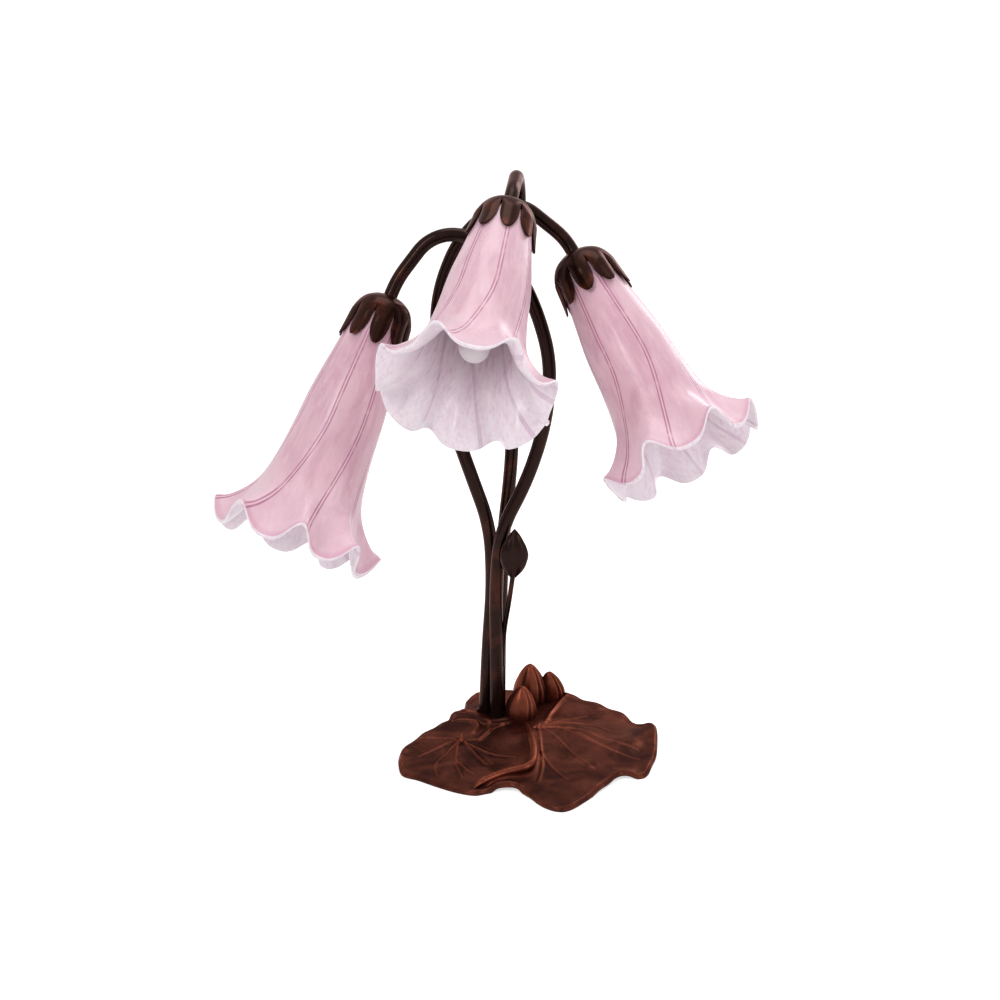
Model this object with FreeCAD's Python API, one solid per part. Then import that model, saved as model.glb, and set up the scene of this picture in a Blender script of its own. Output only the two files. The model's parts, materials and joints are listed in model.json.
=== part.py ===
"""Three-light table lamp: lily shades on bent stems that rise from cast lily pads.

Millimetres, +Z up, +X to the right and -Y to the front. The origin lies on the surface
the lamp stands on, under the foot of the stem bundle.
"""
import FreeCAD
import Part
import os
from math import acos, cos, hypot, pi, radians, sin, tan

Vector = FreeCAD.Vector
UP = Vector(0, 0, 1)
DOWN = Vector(0, 0, -1)
FRONT = Vector(0, -1, 0)
BACK = Vector(0, 1, 0)

# ---- Stems -------------------------------------------------------------------------
STEM_RADIUS = 4.75              # 3/8 inch brass tube
STEM_BORE = 3.6
BORE_DEPTH = 22.0               # how far the bore is opened from each end
STEM_FOOT_Z = 5.0
STEM_IN_CAP = 8.0               # how far a stem reaches into its cap
STEM_LEAD = 13.0                # straight stretch above each cap
ARC_SHARE = 0.45                # part of a run that each of its arcs may take

# Each head hangs at the end of one stem. top is the crown of its cap, tilt is measured
# from straight down, heading from +X towards +Y, reach runs from the crown to the mouth.
# ruffle is half the height and half the depth of the waves at the rim, arches are their
# turns from the head's front, in degrees. route holds the corners of the stem between its
# foot and its last straight stretch.
HEADS = {
    "left": {
        "top": Vector(-71.4, -14.0, 324.0), "tilt": 30.9, "heading": -134.9,
        "reach": 178.8, "mouth": 56.7, "cap_scale": 0.98, "ruffle": (6.6, 4.3),
        "arches": (0, 46, 98, 149, 197, 232, 275, 318),
        "route": [Vector(0.5, -5.5, STEM_FOOT_Z), Vector(0.3, -6.0, 69.0),
                  Vector(0.0, -6.7, 112.0), Vector(3.0, -7.8, 155.5),
                  Vector(22.5, -7.0, 194.0), Vector(35.0, -6.0, 235.0),
                  Vector(38.0, -6.0, 278.5), Vector(26.0, -6.0, 319.5),
                  Vector(4.5, -5.5, 357.4), Vector(-40.4, -4.6, 369.2)]},
    "right": {
        "top": Vector(53.0, -9.5, 352.6), "tilt": 41.3, "heading": -46.4,
        "reach": 161.0, "mouth": 54.8, "cap_scale": 1.02, "ruffle": (5.8, 4.3),
        "arches": (14, 66, 108, 152, 194, 240, 284, 325),
        "route": [Vector(-8.0, 1.5, STEM_FOOT_Z), Vector(-5.4, 1.9, 69.6),
                  Vector(-2.2, 3.2, 112.6), Vector(-4.0, 4.8, 155.7),
                  Vector(-18.4, 5.2, 196.6), Vector(-32.4, 6.0, 237.2),
                  Vector(-40.9, 6.0, 279.6), Vector(-40.0, 6.0, 322.9),
                  Vector(-23.7, 6.0, 363.4), Vector(11.0, 7.0, 389.6)]},
    "middle": {
        "top": Vector(8.8, -38.0, 390.0), "tilt": 52.4, "heading": -103.3,
        "reach": 157.4, "mouth": 58.6, "cap_scale": 0.98, "ruffle": (4.9, 3.0),
        "arches": (31, 78, 122, 168, 212, 254, 296, 341),
        "route": [Vector(2.0, 5.5, STEM_FOOT_Z), Vector(2.6, 8.2, 67.5),
                  Vector(3.8, 11.4, 109.0), Vector(5.6, 12.8, 150.7),
                  Vector(10.5, 14.0, 192.0), Vector(13.2, 16.0, 254.0),
                  Vector(15.4, 17.4, 317.0), Vector(16.6, 18.4, 360.0),
                  Vector(15.3, 15.6, 407.0)]},
}

# ---- Heads, measured down the head's own axis from the crown of the cap -------------
CAP_WALL = 1.0
CAP_FLAT = 8.3                  # radius of the flat crown round the stem
CAP_PROFILE = [(11.8, 1.4), (16.2, 4.4), (19.4, 9.0), (21.2, 15.0), (22.3, 24.0), (24.4, 37.0)]
CAP_PETALS = 9
SLIT_START = 9.0
SLIT_HALF_WIDTH = 0.4
PETAL_SHOULDER = 27.0           # where the petals start to narrow to their tips
PETAL_TIP = 36.5

SHADE_WALL = 2.6
SHADE_HOLE = 14.4
SHADE_TOP = 14.5
SHADE_SHOULDER = 18.0           # radius of the flat shoulder that the ring clamps
POINTS_PER_LOBE = 6
RUFFLE_LENGTH = 44.0            # how far above the mouth the ruffle starts
RUFFLE_GROWTH = 1.6             # power with which the ruffle grows to the mouth
RUFFLE_PINCH = 0.2              # how much narrower the arches are than the valleys
# Radius of the glass outside, against how far down it lies between top and mouth. The
# last radius is each head's own mouth.
SHADE_PROFILE = [(0.04, 19.6), (0.11, 20.8), (0.21, 23.2), (0.37, 27.0), (0.58, 29.8),
                 (0.72, 33.0), (0.82, 37.4), (0.90, 43.8), (0.96, 50.8)]

SOCKET_RADIUS = 14.0
SOCKET_HUB_RADIUS = 8.0
SOCKET_TOP = 4.0
SOCKET_FLANGE_RADIUS = 17.0
SOCKET_FLANGE_TOP = 12.2
SOCKET_FLANGE_BOTTOM = 14.2
SOCKET_FLOOR = 15.5
SOCKET_END = 42.0
SOCKET_WIRE_BORE = 3.0
SHELL_RADIUS = 7.2
SHELL_BORE = 6.3
SHELL_TOP = 15.5
SHELL_FLOOR = 16.3
SHELL_HOLE = 4.2
SHELL_END = 41.0
CONTACT_RADIUS = 2.6
CONTACT_END = 19.1
RING_RADIUS = 16.6
RING_BORE = 14.05
RING_HEIGHT = 4.4
BULB_BASE_RADIUS = 6.0          # candelabra screw, 12 mm
BULB_BASE_TOP = 19.5
BULB_BASE_END = 44.0
BULB_TIP_RADIUS = 2.0
BULB_RADIUS = 10.0
BULB_SHOULDER = 56.0            # where the glass reaches its full radius
BULB_END = 130.0
BULB_WALL = 0.9
NUT_ACROSS_FLATS = 13.0
NUT_TOP = 1.0
NUT_HEIGHT = 2.8

# ---- Foot: lily pads, buds, boss and what closes them underneath --------------------
FELT_THICKNESS = 1.2
COVER_THICKNESS = 1.2
COVER_TOP = FELT_THICKNESS + COVER_THICKNESS
COVER_CENTRE = Vector(14, -42, 0)
COVER_RADIUS = 47.0
COVER_TAIL_RADIUS = 17.5        # the part of the cover under the boss
PAD_WALL = 2.4
GRID_STEP = 12.5                # spacing of the heights that carry the pads' surface
NEARNESS = 3.0                  # power with which a measured height fades with distance
# Rim of the joined pads, anticlockwise from above, starting at the right pad's back tip.
RIM = [Vector(114.5, -6.3, 10), Vector(102.5, -3.6, 9), Vector(89.3, 11.5, 13),
       Vector(68.5, 20.9, 17), Vector(54.9, 28.4, 20), Vector(48.5, 38.5, 17),
       Vector(36.0, 42.5, 16), Vector(11.8, 43.0, 17), Vector(-4.4, 43.6, 17),
       Vector(-15.2, 34.0, 17), Vector(-22.0, 20.0, 16), Vector(-23.5, 4.9, 17),
       Vector(-30.7, 0.7, 17), Vector(-35.6, -9.0, 14), Vector(-48.2, -21.8, 12),
       Vector(-63.2, -41.9, 9), Vector(-67.8, -56.4, 6), Vector(-64.6, -76.2, 3.2),
       Vector(-53.0, -84.6, 3.2), Vector(-39.7, -95.6, 3.2), Vector(-26.6, -104.8, 3.2),
       Vector(-14.5, -109.5, 3.2), Vector(-5.8, -106.4, 3.2), Vector(4.4, -101.7, 6),
       Vector(12.5, -101.7, 6), Vector(19.9, -109.6, 4), Vector(31.8, -128.2, 3.2),
       Vector(41.8, -135.7, 3.2), Vector(50.5, -132.7, 3.2), Vector(61.6, -117.9, 3.2),
       Vector(75.3, -96.9, 5), Vector(86.2, -82.3, 6), Vector(102.4, -80.0, 3.2),
       Vector(110.5, -57.4, 5), Vector(113.6, -40.8, 7)]
# Heights inside the rim: vein centres, the hollow round the stems and the leaf blades.
BLADE = [Vector(33.5, -25.3, 15), Vector(-24.8, -41.0, 12), Vector(36.0, -10.0, 16),
         Vector(0.0, 0.0, 16), Vector(22.0, 18.0, 17), Vector(6.0, -30.0, 14),
         Vector(12.0, -58.0, 10), Vector(62.0, -25.0, 14), Vector(60.0, -70.0, 9),
         Vector(-28.0, -70.0, 8), Vector(0.0, -84.0, 8), Vector(45.0, -100.0, 5.5),
         Vector(90.0, -35.0, 11)]
# Rolled lip of the left pad, where it laps over the right one.
LIP = [Vector(23.0, -19.0, 15.5), Vector(26.0, -38.0, 15.5), Vector(26.5, -60.0, 13.0),
       Vector(24.0, -79.0, 10.5), Vector(6.0, -91.0, 7.6), Vector(-14.0, -101.0, 4.6)]
LIP_RADIUS = 2.6
BOSS_CENTRE = Vector(-1.5, 2.0, 0)
BOSS_RADIUS = 19.0
BOSS_TOP = 17.5
CAVITY_RADIUS = 13.8
CAVITY_TOP = 12.0
# Closed buds cast on the pads: foot, tip and greatest radius.
BUDS = [(Vector(17.7, -1.6, 13), Vector(18.7, -5.6, 39.3), 11.3),
        (Vector(24.9, 26.8, 13), Vector(24.7, 19.8, 46.4), 12.5),
        (Vector(41.8, 32.2, 13), Vector(38.2, 22.5, 39.2), 9.6)]
# Share of the greatest radius against share of the length, from foot to tip.
BUD_PROFILE = [(0.0, 0.94), (0.2, 1.0), (0.45, 0.86), (0.7, 0.58), (0.88, 0.28), (1.0, 0.06)]
BUD_GROOVES = (-10, 22, 54)     # turn from the right-hand side, degrees
BUD_GROOVE_WIDTH = 1.3
BUD_GROOVE_DEPTH = 0.9
FIXING_TURNS = (210, 330)       # cover screws round the cover's centre, degrees
FIXING_RADIUS = 38.0
PILLAR_RADIUS = 4.0
PILLAR_COVER = 1.0              # metal left above a pillar's screw
BOSS_SCREW = Vector(14.2, -4.2, 0)      # third cover screw, in the boss wall
SCREW_RADIUS = 1.25
SCREW_HEAD_RADIUS = 2.6
SCREW_LENGTH = 3.0
PLATE_RADIUS = 13.2
PLATE_THICKNESS = 2.4
PLATE_SCREWS = [Vector(7.6, -1.6, 0), Vector(-5.2, 10.6, 0), Vector(-8.4, -6.0, 0)]
PLATE_SCREW_DEPTH = 4.0
COLLAR_STEPS = [(6.3, 1.3), (5.7, 0.9)]     # radius and height of its two stacked rings
BUSHING_RADIUS = 3.6
BUSHING_BORE = 2.4
BUSHING_FLANGE_RADIUS = 5.0
BUSHING_FLANGE = 1.2
BUSHING_Z = 7.3
BUSHING_INSIDE = 0.4            # how far it stands out into the cavity

# ---- Leaf bud brazed to the trunk ---------------------------------------------------
# Centre, half width and half thickness of its sections, from its stalk to its tip.
LEAF_SECTIONS = [(Vector(12.2, -15.0, 124.5), 2.1, 2.0), (Vector(12.5, -15.4, 129.0), 6.0, 3.4),
                 (Vector(12.7, -15.8, 135.0), 9.0, 4.6), (Vector(12.9, -16.0, 141.0), 9.9, 5.0),
                 (Vector(13.0, -16.0, 148.0), 8.2, 4.4), (Vector(13.1, -15.8, 154.0), 5.0, 3.0),
                 (Vector(13.2, -15.6, 158.0), 2.2, 1.5), (Vector(13.2, -15.5, 160.0), 0.7, 0.6)]
LEAF_STALK = [Vector(12.2, -15.0, 125.5), Vector(9.4, -10.8, 105.0), Vector(6.0, -4.8, 80.0),
              Vector(4.6, -3.0, 54.0)]
LEAF_STALK_RADIUS = 1.8


# ---- Helpers -----------------------------------------------------------------------
def direction(tilt, heading):
    """Unit vector that leans by tilt from straight down towards heading."""
    lean = sin(radians(tilt))
    return Vector(lean * cos(radians(heading)), lean * sin(radians(heading)),
                  -cos(radians(tilt)))


def head_placement(head):
    """Puts local +Z down the head's axis and local +X on its front side."""
    axis = direction(head["tilt"], head["heading"])
    front = FRONT - axis * FRONT.dot(axis)
    front.normalize()
    turn = FreeCAD.Rotation(front, axis.cross(front), axis, "ZXY")
    return FreeCAD.Placement(head["top"], turn)


def revolved(outline):
    """Solid of revolution about local Z from a closed outline of (radius, height)."""
    points = [Vector(r, 0, z) for r, z in outline]
    face = Part.Face(Part.makePolygon(points + points[:1]))
    return face.revolve(Vector(), UP, 360)


def tube_between(outer, inner, low, high):
    return revolved([(inner, low), (outer, low), (outer, high), (inner, high)])


def rounded_path(points):
    """Straight runs joined by tangent arcs, each as large as its two runs allow."""
    edges = []
    start = points[0]
    for before, corner, after in zip(points, points[1:], points[2:]):
        incoming = corner - before
        outgoing = after - corner
        setback = ARC_SHARE * min(incoming.Length, outgoing.Length)
        incoming.normalize()
        outgoing.normalize()
        half_turn = acos(max(-1.0, min(1.0, incoming.dot(outgoing)))) / 2
        arc_start = corner - incoming * setback
        arc_end = corner + outgoing * setback
        inward = outgoing - incoming
        inward.normalize()
        middle = corner + inward * (setback / sin(half_turn) - setback / tan(half_turn))
        edges.append(Part.LineSegment(start, arc_start).toShape())
        edges.append(Part.Arc(arc_start, middle, arc_end).toShape())
        start = arc_end
    edges.append(Part.LineSegment(start, points[-1]).toShape())
    return Part.Wire(edges)


def swept(points, radius):
    """Round bar along a rounded path."""
    path = rounded_path(points)
    circle = Part.Wire(Part.Circle(points[0], points[1] - points[0], radius).toShape())
    return path.makePipe(Part.Face(circle))


def closed_spline(points):
    curve = Part.BSplineCurve()
    curve.interpolate(points, PeriodicFlag=True)
    return Part.Wire(curve.toShape())


# ---- Stems -------------------------------------------------------------------------
def stem_points(head):
    axis = direction(head["tilt"], head["heading"])
    return head["route"] + [head["top"] - axis * STEM_LEAD, head["top"] + axis * STEM_IN_CAP]


def make_stem(head):
    points = stem_points(head)
    stem = swept(points, STEM_RADIUS)
    for mouth, inside in ((points[0], points[1]), (points[-1], points[-2])):
        stem = stem.cut(Part.makeCylinder(STEM_BORE, BORE_DEPTH, mouth, inside - mouth))
    return stem


def stem_holes(clearance=0.0):
    """Bars where the three stems pass through the foot."""
    holes = []
    for head in HEADS.values():
        foot, above = head["route"][0], head["route"][1]
        holes.append(Part.makeCylinder(STEM_RADIUS + clearance, 2 * BOSS_TOP, foot, above - foot))
    return holes


# ---- Heads -------------------------------------------------------------------------
def petal_notch(radius):
    """Cutter for one slit that widens to the gap between two petal tips."""
    half_pitch = radius * tan(pi / CAP_PETALS)
    flank = [Vector(0, SLIT_HALF_WIDTH, SLIT_START), Vector(0, 1.6 * SLIT_HALF_WIDTH, PETAL_SHOULDER),
             Vector(0, 0.42 * half_pitch, 0.7 * PETAL_TIP + 0.3 * PETAL_SHOULDER),
             Vector(0, half_pitch, PETAL_TIP), Vector(0, half_pitch, PETAL_TIP + 6)]
    other = [Vector(0, -p.y, p.z) for p in reversed(flank)]
    outline = Part.makePolygon(flank + other + flank[:1])
    return Part.Face(outline).extrude(Vector(2 * radius, 0, 0))


def make_cap(head):
    """Spun dome whose skirt is slit into pointed petals."""
    scale = head["cap_scale"]
    outer = [(STEM_RADIUS, 0.0), (CAP_FLAT, 0.0)] + [(r * scale, z) for r, z in CAP_PROFILE]
    inner = [(STEM_RADIUS, CAP_WALL), (CAP_FLAT - 0.3 * CAP_WALL, CAP_WALL)]
    for (r, z), (r_next, z_next) in zip(outer[2:], outer[3:] + [(outer[-1][0], 60.0)]):
        run = hypot(r_next - r, z_next - z)
        inner.append((r - CAP_WALL * (z_next - z) / run, z + CAP_WALL * (r_next - r) / run))
    cap = revolved(outer + inner[::-1])
    notch = petal_notch(CAP_PROFILE[-1][0] * scale)
    for k in range(CAP_PETALS):
        turned = notch.copy()
        turned.rotate(Vector(), UP, 360 * (k + 0.5) / CAP_PETALS)
        cap = cap.cut(turned)
    return cap


def shade_section(head):
    """Closed section of the glass as (radius, height) points: outside down, inside up."""
    length = head["reach"] - SHADE_TOP
    outside = [(radius, SHADE_TOP + share * length) for share, radius in SHADE_PROFILE]
    outside.append((head["mouth"], head["reach"]))
    inside = []
    for before, (radius, height), after in zip(outside, outside[1:], outside[2:] + outside[-1:]):
        run = (after[0] - before[0], after[1] - before[1])
        size = hypot(*run)
        inside.append((radius - SHADE_WALL * run[1] / size, height + SHADE_WALL * run[0] / size))
    neck = [(SHADE_HOLE, SHADE_TOP), (SHADE_SHOULDER, SHADE_TOP)]
    shoulder = [(outside[0][0] - SHADE_WALL, SHADE_TOP + SHADE_WALL),
                (SHADE_HOLE, SHADE_TOP + SHADE_WALL)]
    return neck + outside + inside[::-1] + shoulder


def shade_ring_points(head, radius, height):
    """One ring of the glass; its waves run outward-and-up, then inward-and-down."""
    grown = max(0.0, 1 - abs(head["reach"] - height) / RUFFLE_LENGTH) ** RUFFLE_GROWTH
    rise, depth = head["ruffle"]
    arches = head["arches"]
    points = []
    for arch, following in zip(arches, arches[1:] + (arches[0] + 360,)):
        for k in range(POINTS_PER_LOBE):
            angle = radians(arch + (following - arch) * k / POINTS_PER_LOBE)
            phase = 2 * pi * k / POINTS_PER_LOBE
            wave = grown * (cos(phase) + RUFFLE_PINCH * cos(2 * phase))
            across = radius + depth * wave
            points.append(Vector(across * cos(angle), across * sin(angle),
                                 height - rise * wave))
    return points


def flat_faces(a, b, c, d):
    """The quadrilateral a b c d as one flat face, or as two when it is twisted."""
    normal = (b - a).cross(d - a)
    normal.normalize()
    if abs(normal.dot(c - a)) < 1e-6:
        corners = [(a, b, c, d)]
    else:
        corners = [(a, b, c), (a, c, d)]
    return [Part.Face(Part.makePolygon(list(group) + [group[0]])) for group in corners]


def make_shade(head):
    """Blown lily shade: rings of points round its section, joined by flat facets."""
    rings = [shade_ring_points(head, *point) for point in shade_section(head)]
    faces = []
    for upper, lower in zip(rings, rings[1:] + rings[:1]):
        for k in range(len(upper)):
            faces += flat_faces(upper[k - 1], upper[k], lower[k], lower[k - 1])
    shell = Part.Shell(faces)
    shell.sewShape()
    return Part.Solid(shell)


def make_shade_ring(head):
    """Threaded ring that clamps the shade's shoulder against the flange."""
    top = SHADE_TOP + SHADE_WALL
    return tube_between(RING_RADIUS, RING_BORE, top, top + RING_HEIGHT)


def make_socket(head):
    """Lampholder: hub on the stem, flange above the glass, skirt down through it."""
    return revolved([(STEM_RADIUS, SOCKET_TOP), (SOCKET_HUB_RADIUS, SOCKET_TOP),
                     (SOCKET_HUB_RADIUS, SOCKET_FLANGE_TOP),
                     (SOCKET_FLANGE_RADIUS, SOCKET_FLANGE_TOP),
                     (SOCKET_FLANGE_RADIUS, SOCKET_FLANGE_BOTTOM),
                     (SOCKET_RADIUS, SOCKET_FLANGE_BOTTOM), (SOCKET_RADIUS, SOCKET_END),
                     (SHELL_RADIUS, SOCKET_END), (SHELL_RADIUS, SOCKET_FLOOR),
                     (SOCKET_WIRE_BORE, SOCKET_FLOOR), (SOCKET_WIRE_BORE, STEM_IN_CAP),
                     (STEM_RADIUS, STEM_IN_CAP)])


def make_screw_shell(head):
    return revolved([(SHELL_HOLE, SHELL_TOP), (SHELL_RADIUS, SHELL_TOP),
                     (SHELL_RADIUS, SHELL_END), (SHELL_BORE, SHELL_END),
                     (SHELL_BORE, SHELL_FLOOR), (SHELL_HOLE, SHELL_FLOOR)])


def make_contact(head):
    """Centre contact, set over the wire bore of the lampholder's floor."""
    return revolved([(1.2, SOCKET_FLOOR), (CONTACT_RADIUS + 1.0, SOCKET_FLOOR),
                     (CONTACT_RADIUS + 1.0, SHELL_FLOOR), (CONTACT_RADIUS, SHELL_FLOOR),
                     (CONTACT_RADIUS, CONTACT_END), (1.2, CONTACT_END)])


def make_lock_nut(head):
    """Hexagon nut under the crown that locks the cap on its stem."""
    corner = NUT_ACROSS_FLATS / 2 / cos(pi / 6)
    corners = [Vector(corner * cos(k * pi / 3), corner * sin(k * pi / 3), NUT_TOP)
               for k in range(7)]
    blank = Part.Face(Part.makePolygon(corners)).extrude(Vector(0, 0, NUT_HEIGHT))
    return blank.cut(Part.makeCylinder(STEM_RADIUS, NUT_TOP + NUT_HEIGHT))


def make_bulb_base(head):
    """Screw cap of the bulb with its centre contact."""
    return revolved([(0, BULB_BASE_TOP), (BULB_TIP_RADIUS, BULB_BASE_TOP),
                     (BULB_BASE_RADIUS, BULB_BASE_TOP + 4), (BULB_BASE_RADIUS, BULB_BASE_END),
                     (0, BULB_BASE_END)])


def make_bulb(head):
    """Hollow tubular bulb with a round end."""
    outside = [(BULB_BASE_RADIUS, BULB_BASE_END), (BULB_RADIUS, BULB_SHOULDER)]
    inside = [(BULB_BASE_RADIUS - BULB_WALL, BULB_BASE_END + BULB_WALL),
              (BULB_RADIUS - BULB_WALL, BULB_SHOULDER)]
    for turn in range(0, 91, 15):
        across = cos(radians(turn))
        down = sin(radians(turn))
        outside.append((BULB_RADIUS * across, BULB_END - BULB_RADIUS * (1 - down)))
        if turn % 45 == 0:
            inner = BULB_RADIUS - BULB_WALL
            inside.append((inner * across, BULB_END - BULB_RADIUS + inner * down))
    outside[-1] = (0, BULB_END)
    inside[-1] = (0, BULB_END - BULB_WALL)
    return revolved([(0, BULB_BASE_END)] + outside + inside[::-1]
                    + [(0, BULB_BASE_END + BULB_WALL)])


# ---- Foot --------------------------------------------------------------------------
def pad_height(x, y):
    """Height of the pads' top: the mean of the measured heights, the near ones first."""
    total = 0.0
    weights = 0.0
    for point in RIM + BLADE:
        weight = 1 / (hypot(point.x - x, point.y - y) + 1.0) ** NEARNESS
        total += weight * point.z
        weights += weight
    return total / weights


def make_pads():
    """Sheet of metal under the pads' surface, trimmed to their rim."""
    xs = [p.x for p in RIM]
    ys = [p.y for p in RIM]
    columns = int((max(xs) - min(xs)) / GRID_STEP) + 3
    rows = int((max(ys) - min(ys)) / GRID_STEP) + 3
    grid = []
    for i in range(columns):
        x = min(xs) - GRID_STEP / 2 + i * GRID_STEP
        line = []
        for j in range(rows):
            y = min(ys) - GRID_STEP / 2 + j * GRID_STEP
            line.append(Vector(x, y, pad_height(x, y)))
        grid.append(line)
    surface = Part.BSplineSurface()
    surface.interpolate(grid)
    sheet = surface.toShape().extrude(Vector(0, 0, -PAD_WALL))
    outline = closed_spline([Vector(p.x, p.y, -PAD_WALL) for p in RIM])
    trim = Part.Face(outline).extrude(Vector(0, 0, 60))
    return sheet.common(trim)


def make_bud(foot, tip, radius):
    """Closed flower bud: rounded cone with grooves between its sepals."""
    axis = tip - foot
    length = axis.Length
    outline = [(0, 0)] + [(radius * r, length * h) for h, r in BUD_PROFILE] + [(0, length)]
    bud = revolved(outline)
    core = revolved([(max(0, r - BUD_GROOVE_DEPTH), z) for r, z in outline[1:-1]]
                    + [(0, length), (0, 0)])
    for turn in BUD_GROOVES:
        blade = Part.makeBox(2 * radius, BUD_GROOVE_WIDTH, 0.8 * length,
                             Vector(0, -BUD_GROOVE_WIDTH / 2, 0.14 * length))
        blade.rotate(Vector(), UP, turn)
        bud = bud.cut(blade.cut(core))
    bud.Placement = FreeCAD.Placement(foot, FreeCAD.Rotation(UP, axis))
    return bud


def fixing_points():
    """Where the cover is screwed on."""
    points = [COVER_CENTRE + Vector(FIXING_RADIUS * cos(radians(turn)),
                                    FIXING_RADIUS * sin(radians(turn)), 0)
              for turn in FIXING_TURNS]
    return points + [BOSS_SCREW]


def screw_form(point):
    """Countersunk screw in the cover, pointing up."""
    head = Part.makeCone(SCREW_HEAD_RADIUS, SCREW_RADIUS, COVER_THICKNESS,
                         point + UP * FELT_THICKNESS)
    shank = Part.makeCylinder(SCREW_RADIUS, SCREW_LENGTH, point + UP * COVER_TOP)
    return head.fuse(shank)


def cover_blank(low, high):
    blank = Part.makeCylinder(COVER_RADIUS, high - low, COVER_CENTRE + UP * low)
    tail = Part.makeCylinder(COVER_TAIL_RADIUS, high - low, BOSS_CENTRE + UP * low)
    return blank.fuse(tail).removeSplitter()


def bushing_form():
    """Outside of the inlet bushing, through the back wall of the boss."""
    mouth = BOSS_CENTRE + Vector(0, CAVITY_RADIUS - BUSHING_INSIDE, BUSHING_Z)
    length = BOSS_RADIUS - CAVITY_RADIUS + BUSHING_INSIDE
    return Part.makeCylinder(BUSHING_RADIUS, length, mouth, BACK)


def make_base_casting():
    casting = make_pads()
    casting = casting.fuse(Part.makeCylinder(BOSS_RADIUS, BOSS_TOP - COVER_TOP,
                                             BOSS_CENTRE + UP * COVER_TOP))
    casting = casting.fuse(swept(LIP, LIP_RADIUS))
    for foot, tip, radius in BUDS:
        casting = casting.fuse(make_bud(foot, tip, radius))
    for point in fixing_points()[:-1]:
        top = pad_height(point.x, point.y) - PILLAR_COVER
        casting = casting.fuse(Part.makeCylinder(PILLAR_RADIUS, top - COVER_TOP,
                                                 point + UP * COVER_TOP))
    casting = casting.cut(cover_blank(-PAD_WALL, COVER_TOP))
    casting = casting.cut(Part.makeCylinder(CAVITY_RADIUS, CAVITY_TOP, BOSS_CENTRE))
    for hole in stem_holes():
        casting = casting.cut(hole)
    for point in fixing_points():
        casting = casting.cut(screw_form(point))
    for point in PLATE_SCREWS:
        casting = casting.cut(Part.makeCylinder(SCREW_RADIUS, PLATE_SCREW_DEPTH,
                                                point + UP * CAVITY_TOP))
    return casting.cut(bushing_form())


def make_base_cover():
    cover = cover_blank(FELT_THICKNESS, COVER_TOP)
    for point in fixing_points():
        cover = cover.cut(screw_form(point))
    return cover


def make_stem_plate():
    """Brass plate brazed to the three stems, seated against the roof of the boss."""
    low = CAVITY_TOP - PLATE_THICKNESS
    plate = Part.makeCylinder(PLATE_RADIUS, PLATE_THICKNESS, BOSS_CENTRE + UP * low)
    for hole in stem_holes():
        plate = plate.cut(hole)
    for point in PLATE_SCREWS:
        plate = plate.cut(Part.makeCylinder(SCREW_RADIUS, CAVITY_TOP, point))
    return plate


def make_plate_screws():
    screws = []
    low = CAVITY_TOP - PLATE_THICKNESS
    for point in PLATE_SCREWS:
        head = Part.makeCylinder(2 * SCREW_RADIUS, 1.6, point + UP * (low - 1.6))
        shank = Part.makeCylinder(SCREW_RADIUS, PLATE_THICKNESS + PLATE_SCREW_DEPTH,
                                  point + UP * low)
        screws.append(head.fuse(shank))
    return Part.makeCompound(screws)


def make_stem_collar():
    """Stacked rings round the feet of the stems, cast in one."""
    collar = None
    low = BOSS_TOP
    for radius, height in COLLAR_STEPS:
        for head in HEADS.values():
            foot, above = head["route"][0], head["route"][1]
            centre = foot + (above - foot) * ((low - foot.z) / (above.z - foot.z))
            ring = Part.makeCylinder(radius, height, centre)
            collar = ring if collar is None else collar.fuse(ring)
        low += height
    for hole in stem_holes():
        collar = collar.cut(hole)
    return collar


def make_cord_bushing():
    """Inlet bushing at the back of the boss, with its flange outside."""
    back = BOSS_CENTRE + Vector(0, BOSS_RADIUS, BUSHING_Z)
    flange = Part.makeCylinder(BUSHING_FLANGE_RADIUS, BUSHING_FLANGE + 1.0, back - BACK, BACK)
    boss = Part.makeCylinder(BOSS_RADIUS, BOSS_TOP, BOSS_CENTRE)
    bushing = flange.cut(boss).fuse(bushing_form())
    bore = Part.makeCylinder(BUSHING_BORE, 3 * BOSS_RADIUS, BOSS_CENTRE + UP * BUSHING_Z, BACK)
    return bushing.cut(bore)


def make_leaf_bud():
    """Folded leaf on a thin stalk."""
    rings = []
    for centre, width, thickness in LEAF_SECTIONS:
        rings.append(Part.Wire(Part.Ellipse(centre, width, thickness).toShape()))
    leaf = Part.makeLoft(rings, True, True)
    return leaf.fuse(swept(LEAF_STALK, LEAF_STALK_RADIUS))


def main():
    os.makedirs("parts", exist_ok=True)
    nodes = {
        "base_casting": make_base_casting(),
        "base_cover": make_base_cover(),
        "base_felt": cover_blank(0, FELT_THICKNESS),
        "cover_screws": Part.makeCompound([screw_form(p) for p in fixing_points()]),
        "cord_bushing": make_cord_bushing(),
        "stem_plate": make_stem_plate(),
        "stem_plate_screws": make_plate_screws(),
        "stem_collar": make_stem_collar(),
        "leaf_bud": make_leaf_bud(),
    }
    in_each_head = {
        "cap": make_cap, "lock_nut": make_lock_nut, "socket": make_socket,
        "screw_shell": make_screw_shell, "contact": make_contact,
        "shade_ring": make_shade_ring, "shade": make_shade,
        "bulb_base": make_bulb_base, "bulb": make_bulb,
    }
    for side, head in HEADS.items():
        nodes["stem_" + side] = make_stem(head)
        place = head_placement(head)
        for name, make in in_each_head.items():
            shape = make(head)
            shape.Placement = place.multiply(shape.Placement)
            nodes[name + "_" + side] = shape
    for name, shape in nodes.items():
        print(name, shape.isValid(), round(shape.Volume, 1), len(shape.Faces), len(shape.Solids))
        shape.exportStep("parts/%s.step" % name)


main()
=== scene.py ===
"""Looks of a three-light lily lamp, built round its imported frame. Metres, +Z up, -Y to the front."""
import bpy
import json
import numpy as np
from math import cos, exp, hypot, pi, radians, sin
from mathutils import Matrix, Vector, noise


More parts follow.
